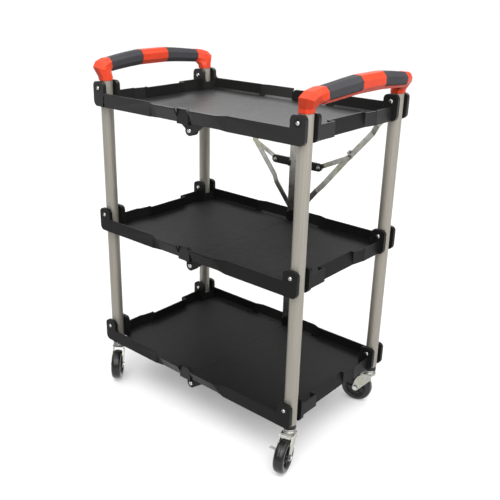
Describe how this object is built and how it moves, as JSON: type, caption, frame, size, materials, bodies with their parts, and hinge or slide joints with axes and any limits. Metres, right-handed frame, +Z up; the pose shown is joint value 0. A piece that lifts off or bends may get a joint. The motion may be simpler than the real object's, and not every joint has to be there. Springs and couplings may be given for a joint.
{
  "type": "folding tool cart",
  "caption": "Folding three-tier service cart: shallow hinged trays between round posts, a bowed handle at each end, a strut brace at the back and swivel casters.",
  "frame": {"origin": "centre of the outline's box, on the floor under the casters", "axes": "+X along the shelves from one handle to the other, +Y across them towards the brace side, +Z up"},
  "size_m": [0.638, 0.4443, 0.8168],
  "materials": {
    "post": "satin",
    "handle": "satin moulded",
    "grip": "soft matte",
    "metal": "bright zinc",
    "black_plastic": "fine texture",
    "tyre": "satin"
  },
  "bodies": {
    "end_frame_left": {"post_front_left": "post", "post_back_left": "post", "handle_left": "handle", "grip_front_left": "grip", "grip_back_left": "grip", "bolt_top_front_left": "metal", "bolt_top_back_left": "metal", "bolt_middle_front_left": "metal", "bolt_middle_back_left": "metal", "bolt_bottom_front_left": "metal", "bolt_bottom_back_left": "metal", "caster_stem_front_left": "black_plastic", "caster_stem_back_left": "black_plastic"},
    "end_frame_right": {"post_front_right": "post", "post_back_right": "post", "handle_right": "handle", "grip_front_right": "grip", "grip_back_right": "grip", "bolt_top_front_right": "metal", "bolt_top_back_right": "metal", "bolt_middle_front_right": "metal", "bolt_middle_back_right": "metal", "bolt_bottom_front_right": "metal", "bolt_bottom_back_right": "metal", "caster_stem_front_right": "black_plastic", "caster_stem_back_right": "black_plastic"},
    "top_tray_left": {"tray_top_left": "black_plastic", "hinge_pin_top_front": "metal", "hinge_pin_top_back": "metal"},
    "top_tray_right": {"tray_top_right": "black_plastic"},
    "middle_tray_left": {"tray_middle_left": "black_plastic", "hinge_pin_middle_front": "metal", "hinge_pin_middle_back": "metal"},
    "middle_tray_right": {"tray_middle_right": "black_plastic"},
    "bottom_tray_left": {"tray_bottom_left": "black_plastic", "hinge_pin_bottom_front": "metal", "hinge_pin_bottom_back": "metal"},
    "bottom_tray_right": {"tray_bottom_right": "black_plastic"},
    "tie": {"tie_bar": "metal"},
    "release": {"release_bar": "black_plastic"},
    "lower_arm_left": {"brace_lower_left": "metal"},
    "upper_arm_left": {"brace_upper_left": "metal"},
    "short_link_left": {"brace_link_left": "metal"},
    "lower_arm_right": {"brace_lower_right": "metal"},
    "upper_arm_right": {"brace_upper_right": "metal"},
    "short_link_right": {"brace_link_right": "metal"},
    "swivel_front_left": {"caster_fork_front_left": "metal", "axle_front_left": "metal"},
    "roller_front_left": {"wheel_front_left": "tyre"},
    "swivel_front_right": {"caster_fork_front_right": "metal", "axle_front_right": "metal"},
    "roller_front_right": {"wheel_front_right": "tyre"},
    "brake_front_right": {"brake_lever_front_right": "metal"},
    "swivel_back_left": {"caster_fork_back_left": "metal", "axle_back_left": "metal"},
    "roller_back_left": {"wheel_back_left": "tyre"},
    "swivel_back_right": {"caster_fork_back_right": "metal", "axle_back_right": "metal"},
    "roller_back_right": {"wheel_back_right": "tyre"},
    "brake_back_right": {"brake_lever_back_right": "metal"}
  },
  "joints": [
    {"name": "fold", "type": "hinge", "parent": "end_frame_left", "child": "top_tray_left", "pos_m": [-0.279, 0.0062, 0.744], "axis": [0, -1, 0], "range_deg": [0, 85]},
    {"name": "top_hinge", "type": "hinge", "parent": "top_tray_left", "child": "top_tray_right", "pos_m": [0, 0.0062, 0.688], "axis": [0, 1, 0], "range_deg": [0, 170]},
    {"name": "top_right_pivot", "type": "hinge", "parent": "top_tray_right", "child": "end_frame_right", "pos_m": [0.279, 0.0062, 0.744], "axis": [0, -1, 0], "range_deg": [0, 85]},
    {"name": "middle_left_pivot", "type": "hinge", "parent": "end_frame_left", "child": "middle_tray_left", "pos_m": [-0.279, 0.0062, 0.444], "axis": [0, -1, 0], "range_deg": [0, 85]},
    {"name": "middle_right_pivot", "type": "hinge", "parent": "end_frame_right", "child": "middle_tray_right", "pos_m": [0.279, 0.0062, 0.444], "axis": [0, 1, 0], "range_deg": [0, 85]},
    {"name": "bottom_left_pivot", "type": "hinge", "parent": "end_frame_left", "child": "bottom_tray_left", "pos_m": [-0.279, 0.0062, 0.144], "axis": [0, -1, 0], "range_deg": [0, 85]},
    {"name": "bottom_right_pivot", "type": "hinge", "parent": "end_frame_right", "child": "bottom_tray_right", "pos_m": [0.279, 0.0062, 0.144], "axis": [0, 1, 0], "range_deg": [0, 85]},
    {"name": "tie_pivot", "type": "hinge", "parent": "top_tray_left", "child": "tie", "pos_m": [0, 0.0062, 0.688], "axis": [0, 1, 0], "range_deg": [0, 85]},
    {"name": "lower_arm_left_pivot", "type": "hinge", "parent": "tie", "child": "lower_arm_left", "pos_m": [-0.008, 0.2062, 0.424], "axis": [0, 1, 0], "range_deg": [0, 22.01]},
    {"name": "upper_arm_left_pivot", "type": "hinge", "parent": "end_frame_left", "child": "upper_arm_left", "pos_m": [-0.279, 0.2062, 0.744], "axis": [0, -1, 0], "range_deg": [0, 136.53]},
    {"name": "lower_arm_right_pivot", "type": "hinge", "parent": "tie", "child": "lower_arm_right", "pos_m": [0.008, 0.2062, 0.424], "axis": [0, -1, 0], "range_deg": [0, 22.01]},
    {"name": "upper_arm_right_pivot", "type": "hinge", "parent": "end_frame_right", "child": "upper_arm_right", "pos_m": [0.279, 0.2062, 0.744], "axis": [0, 1, 0], "range_deg": [0, 136.53]},
    {"name": "release_slide", "type": "slide", "parent": "tie", "child": "release", "axis": [0, 0, -1], "range_m": [0, 0.00962]},
    {"name": "short_link_left_pivot", "type": "hinge", "parent": "release", "child": "short_link_left", "pos_m": [-0.066, 0.2062, 0.5505], "axis": [0, 1, 0], "range_deg": [0, 61.31]},
    {"name": "short_link_right_pivot", "type": "hinge", "parent": "release", "child": "short_link_right", "pos_m": [0.066, 0.2062, 0.5505], "axis": [0, -1, 0], "range_deg": [0, 61.31]},
    {"name": "swivel_front_left_turn", "type": "hinge", "parent": "end_frame_left", "child": "swivel_front_left", "pos_m": [-0.279, -0.1563, 0.085], "axis": [0, 0, 1], "continuous": true},
    {"name": "roller_front_left_spin", "type": "hinge", "parent": "swivel_front_left", "child": "roller_front_left", "pos_m": [-0.26036, -0.17852, 0.0375], "axis": [0.766, 0.6428, 0], "continuous": true},
    {"name": "swivel_front_right_turn", "type": "hinge", "parent": "end_frame_right", "child": "swivel_front_right", "pos_m": [0.279, -0.1563, 0.085], "axis": [0, 0, 1], "continuous": true},
    {"name": "roller_front_right_spin", "type": "hinge", "parent": "swivel_front_right", "child": "roller_front_right", "pos_m": [0.28675, -0.18424, 0.0375], "axis": [0.9636, 0.2672, 0], "continuous": true},
    {"name": "brake_front_right_press", "type": "hinge", "parent": "swivel_front_right", "child": "brake_front_right", "pos_m": [0.28261, -0.16931, 0.0752], "axis": [0.9636, 0.2672, 0], "range_deg": [0, 9]},
    {"name": "swivel_back_left_turn", "type": "hinge", "parent": "end_frame_left", "child": "swivel_back_left", "pos_m": [-0.279, 0.1687, 0.085], "axis": [0, 0, 1], "continuous": true},
    {"name": "roller_back_left_spin", "type": "hinge", "parent": "swivel_back_left", "child": "roller_back_left", "pos_m": [-0.2645, 0.14358, 0.0375], "axis": [0.866, 0.5, 0], "continuous": true},
    {"name": "swivel_back_right_turn", "type": "hinge", "parent": "end_frame_right", "child": "swivel_back_right", "pos_m": [0.279, 0.1687, 0.085], "axis": [0, 0, 1], "continuous": true},
    {"name": "roller_back_right_spin", "type": "hinge", "parent": "swivel_back_right", "child": "roller_back_right", "pos_m": [0.25099, 0.16119, 0.0375], "axis": [0.2588, -0.9659, 0], "continuous": true},
    {"name": "brake_back_right_press", "type": "hinge", "parent": "swivel_back_right", "child": "brake_back_right", "pos_m": [0.26596, 0.16521, 0.0752], "axis": [0.2588, -0.9659, 0], "range_deg": [0, 9]}
  ],
  "couplings": [
    {"joint": "top_hinge", "follows": "fold", "ratio": 2},
    {"joint": "top_right_pivot", "follows": "fold", "ratio": 1},
    {"joint": "middle_left_pivot", "follows": "fold", "ratio": 1},
    {"joint": "middle_right_pivot", "follows": "fold", "ratio": 1},
    {"joint": "bottom_left_pivot", "follows": "fold", "ratio": 1},
    {"joint": "bottom_right_pivot", "follows": "fold", "ratio": 1},
    {"joint": "tie_pivot", "follows": "fold", "ratio": 1},
    {"joint": "lower_arm_left_pivot", "follows": "fold", "ratio": 0.2587},
    {"joint": "upper_arm_left_pivot", "follows": "fold", "ratio": 1.606},
    {"joint": "lower_arm_right_pivot", "follows": "fold", "ratio": 0.2587},
    {"joint": "upper_arm_right_pivot", "follows": "fold", "ratio": 1.606},
    {"joint": "release_slide", "follows": "fold", "m_per_rad": 0.00645},
    {"joint": "short_link_left_pivot", "follows": "fold", "ratio": 0.72109},
    {"joint": "short_link_right_pivot", "follows": "fold", "ratio": 0.72109}
  ]
}
